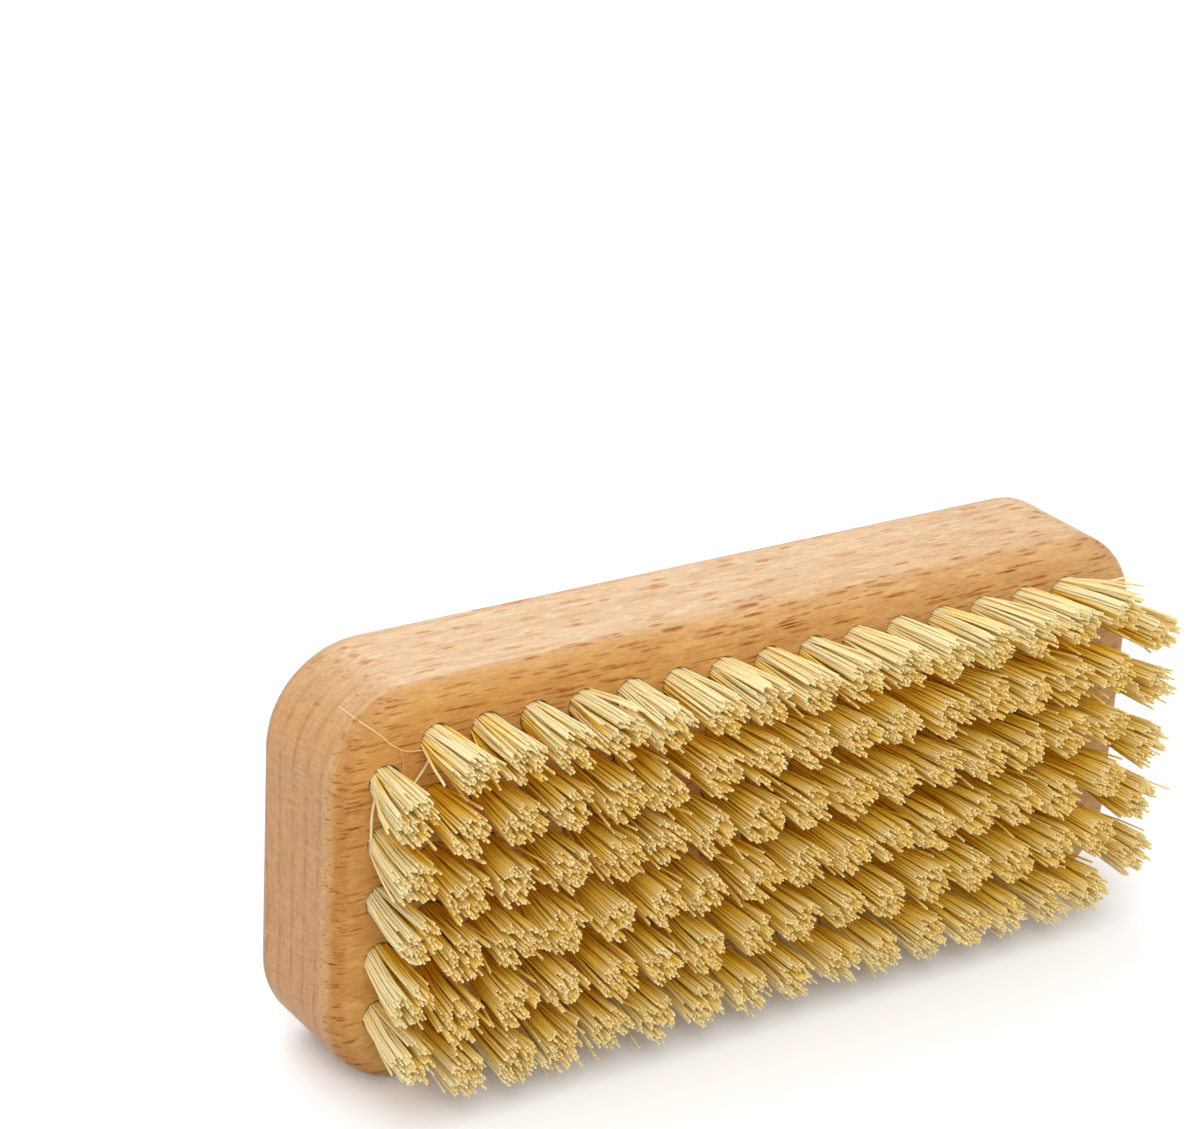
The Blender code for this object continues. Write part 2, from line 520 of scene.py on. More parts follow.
class BeechSurface(Surface):
    """Wires the beech, on plain coordinates in millimetres and on the grain's, which wander."""

    def __init__(self, look: Beech) -> None:
        """Lay the coordinates and the masks that the figure follows.

        Args:
            look: The wood's colours and sizes.
        """
        super().__init__("beech")
        self.look = look
        self.plain = self.own_mm()
        drift = self.noise(self.vector(Maths.MULTIPLY, self.plain, look.wander_pace), detail=1.0)
        centred = self.vector(Maths.SUBTRACT, drift.outputs["Color"], (0.5, 0.5, 0.5))
        self.grain = self.vector(Maths.MULTIPLY_ADD, centred, look.wander_reach, self.plain)
        self.rayed = self.turn(self.grain, look.ray_slope_degrees, "X")
        self.rings = self.ring_lines()
        self.warmth = self.warm_parts()

    def tint(self, share: Source, colour: Source, shade: Source) -> Socket:
        """Multiply a colour by a shade."""
        return self.colour(share, colour, shade, Blending.TIMES)

    def ring_lines(self) -> Socket:
        """Draw the thin, broken lines of the growth rings.

        Returns:
            A mask.
        """
        look = self.look
        turn = self.times(self.split(self.grain)[1], math.tau / look.ring_pitch)
        line = self.span(self.maths(Maths.SINE, turn), *look.ring_span, smooth=True)
        gaps = self.noise(self.vector(Maths.MULTIPLY, self.grain, look.ring_gap_pace))
        return self.times(line, self.span(gaps.outputs[0], *look.ring_gaps))

    def warm_parts(self) -> Socket:
        """Work out how warm the wood is: pale on the sides, warmer on the back, and orange on the face,
        partly its tone and partly painted shade and bounce light from the tufts.

        Returns:
            A mask.
        """
        look = self.look
        along, depth, _ = self.split(self.plain)
        start = look.face_y + look.round_edge
        softness = self.span(along, *look.soft_span)
        begin, end = (
            self.line(softness, slope, start + shift) for slope, shift in (look.begin_line, look.end_line))
        step = self.span(depth, begin, end, 0.0, self.span(softness, 0.0, 1.0, *look.step_warmth))
        rim = self.span(depth, start + look.rim_from, look.face_y + look.rim_to, 0.0, look.rim_warmth)
        back = self.span(
            depth, look.back_y + look.back_from, look.back_y + look.back_to, 0.0, look.back_warmth)
        return self.maths(Maths.MAXIMUM, self.maths(Maths.ADD, step, rim), back)

    def figure(self) -> tuple[Socket, Socket]:
        """Lay the long grain: soft clouds, fine specks, growth rings and flecks.

        Returns:
            The colour, and a height for the bump.
        """
        look = self.look
        clouds = self.noise(self.vector(Maths.MULTIPLY, self.grain, look.cloud_pace), detail=3.0)
        broad, strokes, fine = (
            look.effects.threads(self, self.grain, kind) for kind in (look.broad, look.strokes, look.fine))
        tone = self.line(self.span(clouds.outputs[0], *look.cloud_span), *look.cloud_line)
        tone = self.line(broad, look.broad_share, tone, clamp=True)
        colour = self.colour(tone, look.ground, look.pale)
        colour = self.colour(self.span(strokes, *look.stroke_span), colour, look.bright)
        colour = self.tint(1.0, colour, self.grey(self.line(fine, *look.speck_line)))
        colour = self.tint(self.times(self.rings, look.ring_on_sides), colour, look.ring)
        height = fine
        uneven = self.line(fine, *look.fleck_line)
        mark = self.colour(self.warmth, look.ray, look.dash)
        for kind in look.flecks:
            marks = self.times(look.effects.flecks(self, self.rayed, kind), uneven)
            shown = self.span(self.warmth, 0.0, look.full_flecks, kind.strength, kind.on_face)
            strength = self.maths(Maths.MULTIPLY, marks, shown, clamp=True)
            colour = self.tint(strength, colour, mark)
            height = self.line(strength, look.fleck_dent, height)
        return colour, height

    def end_figure(self) -> Socket:
        """Lay the end grain: thin growth rings, fine pores, and the pale lines of the rays.

        Returns:
            The colour.
        """
        look = self.look
        x, y, z = self.split(self.grain)
        upward = self.join(z, y, self.times(x, look.end_depth))
        x, y, z = self.split(self.rayed)
        along_rays = self.join(y, z, self.times(x, look.end_depth))
        tone = look.effects.threads(self, along_rays, look.ray_lines)
        for kind in look.up_lines:
            tone = self.maths(Maths.ADD, tone, look.effects.threads(self, upward, kind))
        colour = self.tint(1.0, look.end, self.grey(self.maths(Maths.ADD, tone, 1.0)))
        colour = self.tint(self.times(self.rings, look.ring_on_ends), colour, look.ring)
        for kind in look.scratches:
            pale = self.times(look.effects.flecks(self, self.rayed, kind), kind.strength)
            colour = self.colour(pale, colour, look.scratch)
        return colour

    def finish(self) -> Material:
        """Join the long grain, the corners, the warm parts and the end grain.

        Returns:
            The material.
        """
        look = self.look
        colour, height = self.figure()
        normal = self.node("ShaderNodeNewGeometry", {}).outputs["Normal"]
        facing = self.maths(Maths.ABSOLUTE, self.split(normal)[0])
        turning = self.times(*(
            self.span(facing, *ends, smooth=True) for ends in (look.turn_begin, look.turn_end)))
        colour = self.tint(turning, colour, look.corner)
        # Warm tint: the wood's tone on the back, and on the face partly the tone and partly painted shade
        # and bounce light from the tufts.
        colour = self.colour(self.warmth, colour, self.tint(1.0, colour, look.warm_tone_and_shade))
        sanded = self.times(
            self.span(facing, *look.end_span, smooth=True),
            self.span(self.warmth, 0.0, look.no_end_grain, 1.0, 0.0))
        colour = self.colour(sanded, colour, self.end_figure())
        self.shader.inputs["Specular IOR Level"].default_value = look.gloss
        return self.dress(colour, self.line(height, *look.roughness_line), height, look.bump)


@dataclass(frozen=True)
class Streaked:
    """A finish with fine streaks between two colours."""

    effects: Effects
    name: str
    dark: Triple
    light: Triple
    streaks: Threads
    roughness_line: Pair
    bump: Pair
    metallic: float = 0.0
    turn_degrees: float = 0.0

    def make(self) -> Material:
        """Make the material.

        Returns:
            The material.
        """
        surface = Surface(self.name)
        surface.shader.inputs["Metallic"].default_value = self.metallic
        lying = surface.turn(surface.own_mm(), self.turn_degrees, "Y")
        streaks = self.effects.threads(surface, lying, self.streaks)
        tone = surface.maths(Maths.ADD, streaks, 0.5)
        return surface.dress(
            surface.colour(tone, self.dark, self.light), surface.line(tone, *self.roughness_line), streaks,
            self.bump)


@dataclass(frozen=True)
class ShadedHoleWall(Streaked):
    """Wall and rim of a drilled hole, streaked by the drill and dark with painted shade, as in the shade of
    the hole.
    """

    name: str = "hole_wall_shade"
    # Painted shade: both colours are far darker than the block's, as the wall lies in the hole's shade.
    dark: Triple = (0.26, 0.19, 0.08)
    light: Triple = (0.46, 0.32, 0.14)
    streaks: Threads = Threads(4.0, 1.5)
    roughness_line: Pair = (0.15, 0.6)
    bump: Pair = (0.4, 0.04)


@dataclass(frozen=True)
class DrawnSteel(Streaked):
    """Flat-rolled steel wire, a little dull, its streaks along Z."""

    name: str = "drawn_steel"
    dark: Triple = (0.34, 0.32, 0.29)
    light: Triple = (0.52, 0.51, 0.49)
    streaks: Threads = Threads(12.0, 0.8)
    roughness_line: Pair = (-0.12, 0.42)
    bump: Pair = (0.2, 0.01)
    metallic: float = 1.0
    turn_degrees: float = 90.0


@dataclass(frozen=True)
class PlantFibre:
    """Stiff cream-yellow plant fibre.

    Its colours follow the fibre's own map alone. U picks one of the tones, which go from pale to golden,
    and within a tone it runs round the fibre, from the side that faces out of the tuft and back to it.
    V runs from the fold at the bottom of the hole, 0, past the mouth of the hole, 0.5, to the tip, with
    the cut end in the last stretch below 1. The golden and deep colours hold painted shade: deeper
    towards the root, on the flanks of each fibre, and in the fibres that lie in the pack.
    """

    effects: Effects
    tones: int = 32
    pale: Triple = (0.97, 0.865, 0.55)
    # Golden is partly the fibre's own tone and partly painted shade; deep is painted shade at the roots of
    # the pack.
    golden_tone_and_shade: Triple = (0.98, 0.67, 0.08)
    deep_shade: Triple = (0.85, 0.44, 0.010)
    cut: Triple = (0.95, 0.82, 0.47)
    # Where the cut end begins, and how much it shows.
    cut_span: Pair = (0.93, 0.95)
    cut_share: float = 0.6
    # How golden a fibre is: painted shade along it, deepest at the root, its own random draw, and
    # painted shade on its flanks, where it meets its neighbours.
    root_shade_along: Span = (0.64, 0.92, 1.0, 0.23)
    gold_draw: float = 0.12
    flank_shade_span: Pair = (0.8, 0.2)
    flank_shade_gold: Pair = (0.16, 0.22)
    golden_span: Pair = (0.06, 0.58)
    deep_span: Pair = (0.6, 1.0)
    veins: Threads = Threads(9.0, 170.0)
    vein_line: Pair = (0.14, 0.98)
    roughness_line: Pair = (0.12, 0.6)
    gloss: float = 0.08
    bump: Pair = (0.2, 0.03)

    def make(self) -> Material:
        """Make the material.

        Returns:
            The material.
        """
        surface = Surface("fibre")
        own = surface.node("ShaderNodeUVMap", {}, uv_map=FIBRE_MAP).outputs[0]
        across, along, _ = surface.split(own)
        place = surface.times(across, float(self.tones))
        column = surface.maths(Maths.FLOOR, place)
        around = surface.maths(Maths.SUBTRACT, surface.maths(Maths.SUBTRACT, place, column), 0.5)
        outer = surface.times(surface.maths(Maths.ABSOLUTE, around), 2.0)
        ending = surface.span(along, *self.cut_span)
        # Painted shade on the flanks of each fibre, where it meets its neighbours, but not on the cut end.
        flank_shade = surface.times(
            surface.span(outer, *self.flank_shade_span), surface.maths(Maths.SUBTRACT, 1.0, ending))
        draw = surface.node("ShaderNodeTexWhiteNoise", {"W": column}, noise_dimensions="1D").outputs[0]
        # Painted shade along the fibre: most golden at the root, fading towards the tip.
        depth = surface.span(along, *self.root_shade_along)
        # The tone's column brings the painted shade of the pack, chosen with tone_of, and a random spread.
        gold_and_shade = surface.times(surface.span(column, 0.0, self.tones - 1.0), depth)
        gold_and_shade = surface.line(draw, self.gold_draw, gold_and_shade)
        gold_and_shade = surface.line(flank_shade, surface.span(depth, self.root_shade_along[3], 1.0, *self.flank_shade_gold), gold_and_shade)
        colour = surface.colour(surface.span(gold_and_shade, *self.golden_span), self.pale, self.golden_tone_and_shade)
        colour = surface.colour(surface.span(gold_and_shade, *self.deep_span), colour, self.deep_shade)
        flat = surface.vector(Maths.MULTIPLY, own, (1.0, 1.0, 0.0))
        veins = self.effects.threads(surface, flat, self.veins)
        tone = surface.grey(surface.line(veins, *self.vein_line))
        colour = surface.colour(1.0, colour, tone, Blending.TIMES)
        colour = surface.colour(surface.times(ending, self.cut_share), colour, self.cut)
        surface.shader.inputs["Specular IOR Level"].default_value = self.gloss
        return surface.dress(colour, surface.line(veins, *self.roughness_line), veins, self.bump)


@dataclass
class HolePattern:
    """Places of the drilled holes, which also tell where the tufts and the anchor wires are.

    The lengths are metres, and the block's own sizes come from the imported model.
    """

    columns: int = 17
    rows: int = 6
    end_margin: float = 0.0051
    side_margin: float = 0.0053
    hole_diameter: float = 0.0032
    back_wall: float = 0.0045
    open_margin: float = 0.001
    side_openness: float = 0.6
    tufts_per_set: int = 2
    length: float = field(init=False)
    width: float = field(init=False)
    thickness: float = field(init=False)
    to_frame: Matrix = field(init=False)

    def __post_init__(self) -> None:
        """Read the block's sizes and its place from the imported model."""
        low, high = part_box("block")
        self.length, self.thickness, self.width = high - low
        self.to_frame = Matrix.Translation((0, low.y, (low.z + high.z) / 2)) @ Matrix.Rotation(
            math.radians(90), 4, "X")

    @property
    def hole_depth(self) -> float:
        """Return the depth of a hole."""
        return self.thickness - self.back_wall

    @property
    def row_pitch(self) -> float:
        """Return the distance between two rows of holes."""
        return (self.width - 2 * self.side_margin) / (self.rows - 1)

    def column_holes(self, column: int) -> list[Vector]:
        """Return the middles of a column's rims; the end columns have one less, half a row further in.

        Args:
            column: Its number, from 0 at the low end of X.

        Returns:
            The middle of each hole's rim, from the low side of Y.
        """
        pitch = (self.length - 2 * self.end_margin) / (self.columns - 1)
        x = (column - (self.columns - 1) / 2) * pitch
        count = self.rows - 1 if column in (0, self.columns - 1) else self.rows
        return [Vector((x, (row - (count - 1) / 2) * self.row_pitch, 0)) for row in range(count)]

    def holes(self) -> Iterator[Vector]:
        """Yield the middle of each hole's rim."""
        for column in range(self.columns):
            yield from self.column_holes(column)

    def sets(self) -> Iterator[tuple[str, list[Vector]]]:
        """Go through the sets of tufts, column by column.

        Yields:
            The name of the set's CAD node, and its holes.
        """
        for column in range(self.columns):
            holes = self.column_holes(column)
            starts = list(range(0, len(holes) - 1, self.tufts_per_set))
            for number, (start, end) in enumerate(zip(starts, starts[1:] + [len(holes)])):
                yield f"tufts_{column + 1:02d}_{number + 1}", holes[start:end]

    def openness(self, hole: Vector, way: Vector) -> float:
        """Work out how much light reaches one side of a hole's tuft.

        Args:
            hole: Middle of the hole's rim.
            way: The way from there to the side.

        Returns:
            From 1, where the way leads out of the pattern, to 0, in the pack.
        """
        border = Vector((self.length / 2 - self.end_margin, self.width / 2 - self.side_margin))
        outside = max(abs(hole.x) - border.x, abs(hole.y) - border.y)
        if outside < -self.open_margin:
            return 0.0
        beside = hole + way.normalized() * self.row_pitch
        past = max(abs(beside.x) - border.x, abs(beside.y) - border.y) / self.row_pitch
        return min(max(self.side_openness + past, 0.0), 1.0)


def add_object(name: str, data: bpy.types.ID) -> Piece:
    """Put an object with this mesh, lamp or camera into the scene.

    Args:
        name: The object's name.
        data: What it shows.

    Returns:
        The object.
    """
    added = bpy.data.objects.new(name, data)
    bpy.context.scene.collection.objects.link(added)
    return added


def add_piece(
    name: str, shape: Shape, place: Matrix, materials: list[Material], sharp_degrees: float = 40.0,
) -> Piece:
    """Carry a shape to its place and make an object of it, which stays at the origin.

    Args:
        name: The piece's name.
        shape: The mesh, which is used up.
        place: What carries it to its place.
        materials: The piece's materials.
        sharp_degrees: Angle between two faces past which their edge is sharp.

    Returns:
        The new object.
    """
    bmesh.ops.transform(shape, matrix=place, verts=shape.verts)
    mesh = bpy.data.meshes.new(name)
    shape.to_mesh(mesh)
    shape.free()
    mesh.shade_smooth()
    mesh.set_sharp_from_angle(angle=math.radians(sharp_degrees))
    for material in materials:
        mesh.materials.append(material)
    return add_object(name, mesh)


def round_edges(shape: Shape, edges: list[bmesh.types.BMEdge], radius: float, segments: int) -> None:
    """Round edges with a circular arc.

    Args:
        shape: The mesh.
        edges: Its edges to round.
        radius: Radius of the arc.
        segments: How many flats the arc has.
    """
    bmesh.ops.bevel(
        shape, geom=edges, offset=radius, offset_type="OFFSET", segments=segments, profile=0.5,
        affect="EDGES", clamp_overlap=True, material=-1)


@dataclass
class Block:
    """The block of beech with its blind holes."""

    pattern: HolePattern
    wood: Material
    hole_shade: Material
    corner_radius: float = 0.0095
    back_edge_radius: float = 0.0011
    face_edge_radius: float = 0.0022
    corner_segments: int = 24
    back_edge_segments: int = 5
    face_edge_segments: int = 8
    hole_sides: int = 32
    # The rim's chamfer takes the hole wall's finish, which paints a dark line of shade round each hole.
    rim_chamfer: float = 0.00012
    overrun: float = 0.001
    level_tolerance: float = 0.0001
    sharp_degrees: float = 30.0
    flat_weight: int = 100

    def level_edges(self, shape: Shape, height: float) -> list[bmesh.types.BMEdge]:
        """Return the edges that lie in one level plane."""
        return [edge for edge in shape.edges
                if all(abs(vert.co.z - height) < self.level_tolerance for vert in edge.verts)]

    def body(self) -> Shape:
        """Make the undrilled block.

        Returns:
            Its mesh, face up.
        """
        size = self.pattern
        shape = bmesh.new()
        place = Matrix.Translation((0, 0, -size.thickness / 2)) @ Matrix.Diagonal(
            (size.length, size.width, size.thickness, 1))
        bmesh.ops.create_cube(shape, size=1.0, matrix=place)
        upright = [edge for edge in shape.edges
                   if abs(edge.verts[0].co.z - edge.verts[1].co.z) > self.level_tolerance]
        round_edges(shape, upright, self.corner_radius, self.corner_segments)
        for height, radius, segments in (
            (-size.thickness, self.back_edge_radius, self.back_edge_segments),
            (0, self.face_edge_radius, self.face_edge_segments),
        ):
            round_edges(shape, self.level_edges(shape, height), radius, segments)
        return shape

    def drill(self) -> Shape:
        """Make the drill's cuts: a round hole with a small chamfer at its rim.

        Returns:
            Their mesh, face up.
        """
        shape = bmesh.new()
        radius = self.pattern.hole_diameter / 2
        depth = self.pattern.hole_depth
        flare = 2 * self.rim_chamfer
        for hole in self.pattern.holes():
            middle = hole - Vector((0, 0, (depth + self.rim_chamfer) / 2))
            made = bmesh.ops.create_cone(
                shape, cap_ends=True, segments=self.hole_sides, radius1=radius, radius2=radius,
                depth=depth - self.rim_chamfer, matrix=Matrix.Translation(middle))["verts"]
            top = max({face for vert in made for face in vert.link_faces},
                      key=lambda face: face.calc_center_median().z)
            for rise, grow in ((flare, (radius + flare) / radius), (self.overrun, 1.0)):
                top = bmesh.ops.extrude_discrete_faces(shape, faces=[top])["faces"][0]
                centre = top.calc_center_median()
                for vert in top.verts:
                    vert.co = centre + (vert.co - centre) * grow + Vector((0, 0, rise))
        return shape

    def build(self) -> Piece:
        """Returns:
            The piece.
        """
        piece = add_piece("beech_block", self.body(), self.pattern.to_frame, [self.wood, self.hole_shade])
        drill = add_piece("drill", self.drill(), self.pattern.to_frame, [self.hole_shade])
        cut = piece.modifiers.new("holes", "BOOLEAN")
        cut.operation = "DIFFERENCE"
        cut.solver = "EXACT"
        cut.material_mode = "TRANSFER"
        cut.object = drill
        finished = bpy.data.meshes.new_from_object(
            piece.evaluated_get(bpy.context.evaluated_depsgraph_get()))
        piece.modifiers.clear()
        piece.data = finished
        bpy.data.objects.remove(drill, do_unlink=True)
        finished.shade_smooth()
        finished.set_sharp_from_angle(angle=math.radians(self.sharp_degrees))
        even = piece.modifiers.new("even_shading", "WEIGHTED_NORMAL")
        even.keep_sharp = True
        even.weight = self.flat_weight
        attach(piece, BODY)
        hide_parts("block")
        return piece


@dataclass
class AnchorWires:
    """The flat wires that hold the folded tufts at the bottom of their holes."""

    pattern: HolePattern
    steel: Material
    thickness: float = 0.0004
    height: float = 0.0009
    bite: float = 0.0003
    depth: float = 0.00755
    edge_radius: float = 0.00008

    def build(self) -> Piece:
        """Build the wires as one piece.

        Returns:
            The piece.
        """
        shape = bmesh.new()
        size = (self.thickness, self.pattern.hole_diameter + 2 * self.bite, self.height, 1)
        for hole in self.pattern.holes():
            place = Matrix.Translation(hole - Vector((0, 0, self.depth))) @ Matrix.Diagonal(size)
            bmesh.ops.create_cube(shape, size=1.0, matrix=place)
        round_edges(shape, shape.edges[:], self.edge_radius, 1)
        piece = add_piece("anchor_wires", shape, self.pattern.to_frame, [self.steel])
        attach(piece, BODY)
        return piece


@dataclass
class Course:
    """Way of one fibre.

    Attributes:
        points: The middle of each of its rings.
        heights: The rings' places along the fibre map.
        radius: The fibre's radius.
        tones: The tones of its first and its second half, from the palest, 0, to the most golden.
        outward: Which way is out of the tuft at its first ring.
        cuts: How its first and last rings are turned, so that the fibre is cut at a slant.
    """

    points: list[Vector]
    heights: list[float]
    radius: float
    # tones: The tones of its first and its second half, from the palest, 0, to the most golden; the golden
    # tones hold painted shade.
    tones: tuple[int, int]
    outward: Vector
    cuts: tuple[Matrix, Matrix]

    def ring_places(self) -> list[Matrix]:
        """Return the place of each ring, square to the course and without twist.

        Returns:
            A matrix for each ring, which carries a flat ring round the origin to its place.
        """
        points = self.points
        way = (points[1] - points[0]).normalized()
        turn = Vector((0, 0, 1)).rotation_difference(way)
        outward = self.outward - self.outward.project(way)
        turn = (turn @ Vector((0, 1, 0))).rotation_difference(outward) @ turn
        places = []
        for before, point, after in zip(points[:1] + points, points, points[1:] + points[-1:]):
            new_way = (after - before).normalized()
            turn = way.rotation_difference(new_way) @ turn
            way = new_way
            places.append(Matrix.Translation(point) @ turn.to_matrix().to_4x4())
        places[0] = places[0] @ self.cuts[0]
        places[-1] = places[-1] @ self.cuts[1]
        return places


@dataclass
class FibreDrawing:
    """Draws fibres as tubes, with their map, where each tone has its own column."""

    tones: int
    sides: int = 5
    cut_tilt_degrees: float = 22.0
    # The part of a column that the sides take, and the middle and reach of a cut end, across and up.
    column_room: float = 0.9
    column_margin: float = 0.05
    cut_middle: Pair = (0.5, 0.975)
    cut_reach: Pair = (0.4, 0.02)

    def cuts(self, draws: random.Random) -> tuple[Matrix, Matrix]:
        """Choose the slant of a fibre's two cut ends.

        Args:
            draws: Random numbers.

        Returns:
            How the first and the last ring are turned.
        """
        first, last = (
            Matrix.Rotation(
                math.radians(draws.gauss(0, self.cut_tilt_degrees)), 4,
                Vector((math.cos(angle), math.sin(angle), 0)))
            for angle in (draws.uniform(0, math.tau), draws.uniform(0, math.tau)))
        return first, last

    def draw(self, shape: Shape, courses: list[Course]) -> None:
        """Draw fibres that have the same number of rings.

        Args:
            shape: The mesh that gets them.
            courses: Their courses.
        """
        owner, ring, side = (shape.verts.layers.int.new(name) for name in VERT_LAYERS)
        places = [course.ring_places() for course in courses]
        ends = []
        for number, course in enumerate(courses):
            verts = bmesh.ops.create_cone(
                shape, cap_ends=True, segments=self.sides, radius1=course.radius, radius2=course.radius,
                depth=2.0)["verts"]
            for vert in verts:
                high = int(vert.co.z > 0)
                flat = Vector((vert.co.x, vert.co.y, 0))
                vert[owner] = number
                vert[ring] = high
                vert[side] = round(math.atan2(flat.x, flat.y) / math.tau * self.sides) % self.sides
                vert.co = places[number][high] @ flat
            ends.append(next(face for face in verts[1].link_faces
                             if all(vert[ring] == 1 for vert in face.verts)))
        for step in range(2, len(places[0])):
            ends = bmesh.ops.extrude_discrete_faces(shape, faces=ends)["faces"]
            for end in ends:
                number = end.verts[0][owner]
                move = places[number][step] @ places[number][step - 1].inverted()
                for vert in end.verts:
                    vert[ring] = step
                    vert.co = move @ vert.co
        self.lay_map(shape, courses)

    def lay_map(self, shape: Shape, courses: list[Course]) -> None:
        """Give each fibre its column of the map.

        Args:
            shape: The mesh.
            courses: The courses of its fibres.
        """
        fibre_map = shape.loops.layers.uv.new(FIBRE_MAP)
        owner, ring, side = (shape.verts.layers.int[name] for name in VERT_LAYERS)
        for face in shape.faces:
            course = courses[face.verts[0][owner]]
            tone = course.tones[min(vert[ring] for vert in face.verts) >= len(course.points) // 2]
            sides = [vert[side] for vert in face.verts]
            cap = len(set(sides)) > 2
            wraps = not cap and max(sides) - min(sides) > 1
            for loop, number in zip(face.loops, sides):
                if cap:
                    angle = math.tau * number / self.sides
                    across = self.cut_middle[0] + self.cut_reach[0] * math.cos(angle)
                    along = self.cut_middle[1] + self.cut_reach[1] * math.sin(angle)
                else:
                    place = (number + self.sides * (wraps and number == 0)) / self.sides
                    across = place * self.column_room + self.column_margin
                    along = course.heights[loop.vert[ring]]
                loop[fibre_map].uv = ((tone + across) / self.tones, along)


@dataclass
class Tufts:
    """The tufts: fibres folded in two under the anchor wire, whose legs flare to the trimmed tips."""

    pattern: HolePattern
    drawing: FibreDrawing
    fibre: Material
    fibres_per_tuft: int = 58
    seed: int = 41
    sharp_degrees: float = 60.0
    # Lengths, in metres, and how a tuft leans.
    bristle_length: float = 0.0086
    length_spread: float = 0.00034
    longest_over: float = 0.0005
    root_radius: float = 0.00147
    tip_radius: float = 0.00222
    thinnest: float = 0.000112
    thickest: float = 0.000146
    lean_share: float = 0.03
    tuft_lean: float = 0.00022
    # How unlike each other the tufts, and the fibres of a tuft, are.
    fullness: Pair = (0.94, 1.08)
    reach_spread: Pair = (0.92, 1.08)
    twist_spread: float = 0.05
    wander: float = 0.00003
    tip_sway: float = 0.3
    stray_share: float = 0.06
    stray_reach: float = 0.0015
    stray_spread: Pair = (0.2, 1.0)
    # The clumps that the fibres hang together in.
    clumps: int = 16
    clump_pull: float = 0.33
    clump_offset: float = 0.00015
    clump_length: float = 0.00026
    clump_spread: Pair = (0.85, 1.1)
    clump_turn: float = 0.2
    # How golden the fibres are at the rim and, added to that, in the core of a tuft: painted shade,
    # golden in the pack and in the core, pale where light reaches.
    open_gold: float = 0.0
    packed_shade_gold: float = 0.92
    gold_spread: float = 0.11
    packed_core_shade: float = 0.25
    open_core_shade: float = 0.5
    most_gold: float = 0.999
    # The leg above the mouth, and its way past the wire to the fold.
    leg_levels: Triple = (1.0, 0.62, 0.27)
    straight_share: float = 0.6
    mouth_depth: float = 0.0005
    wire_depth: float = 0.00755
    wire_gap: float = 0.00042
    wire_shares: Pair = (0.5, 0.8)
    wire_rise: float = 0.0009
    fold_drop: float = 0.0008
    fold_spread: float = 0.0003

    def leg(
        self, hole: Vector, root: Vector, tip: Vector, draws: random.Random,
    ) -> list[tuple[Vector, float]]:
        """Work out one leg of a fibre, from its tip down to beside the wire.

        Args:
            hole: Middle of the hole's rim.
            root: Where the leg leaves the hole, from the hole's middle.
            tip: Where its end is, from the hole's middle, with its height above the face.
            draws: The tuft's random numbers.

        Returns:
            Points with their places on the fibre map.
        """
        points = []
        flat_tip = tip.to_2d().to_3d()
        for level in self.leg_levels:
            bent = (1 - self.straight_share) * (1 - (1 - level) ** 2)
            spread = self.straight_share * level + bent
            sway = self.wander * (self.tip_sway if level == 1.0 else 1.0)
            off = Vector((draws.gauss(0, sway), draws.gauss(0, sway), 0))
            at = hole + root.lerp(flat_tip, spread) + off + Vector((0, 0, tip.z * level))
            points.append((at, MAP_MOUTH + MAP_FREE * level))
        points.append((hole + root - Vector((0, 0, self.mouth_depth)), MAP_THROAT))
        beside = Vector((
            math.copysign(self.wire_gap, root.x) + root.x * self.wire_shares[0],
            root.y * self.wire_shares[1], -self.wire_depth + self.wire_rise))
        points.append((hole + beside, MAP_WIRE))
        return points

    def tone_of(self, hole: Vector, root: Vector, share: float, draws: random.Random) -> int:
        """Choose a leg's tone, with painted shade: pale on the open side of the pack, golden in the middle
        of it.

        Args:
            hole: Middle of the hole's rim.
            root: Where the leg leaves the hole, from the hole's middle.
            share: How far that is from the middle, as a share of the tuft's radius.
            draws: The tuft's random numbers.

        Returns:
            The number of the tone.
        """
        # Painted shade: fibres in the pack and in the core of a tuft are painted golden, those on the open
        # side stay pale.
        packed_shade = self.packed_shade_gold + self.packed_core_shade * (1 - share)
        shown = self.open_gold + self.open_core_shade * (1 - share ** 2)
        gold_and_shade = packed_shade + (shown - packed_shade) * self.pattern.openness(hole, root)
        gold_and_shade = min(max(gold_and_shade + draws.gauss(0, self.gold_spread), 0.0), self.most_gold)
        return int(gold_and_shade * self.drawing.tones)

    def clumps_of(self, draws: random.Random) -> list[tuple[Vector, Vector]]:
        """Choose where the fibres of a tuft hang together.

        Args:
            draws: The tuft's random numbers.

        Returns:
            The middle of each clump, as a share of the tuft's radius, and how far its tips are shifted.
        """
        start = draws.uniform(0, math.tau)
        made = []
        for number in range(self.clumps):
            share = math.sqrt((number + 0.5) / self.clumps) * draws.uniform(*self.clump_spread)
            angle = start + number * GOLDEN_ANGLE + draws.gauss(0, self.clump_turn)
            offset = Vector([draws.gauss(0, spread) for spread in (
                self.clump_offset, self.clump_offset, self.clump_length)])
            made.append((Vector((math.cos(angle), math.sin(angle), 0)) * share, offset))
        return made

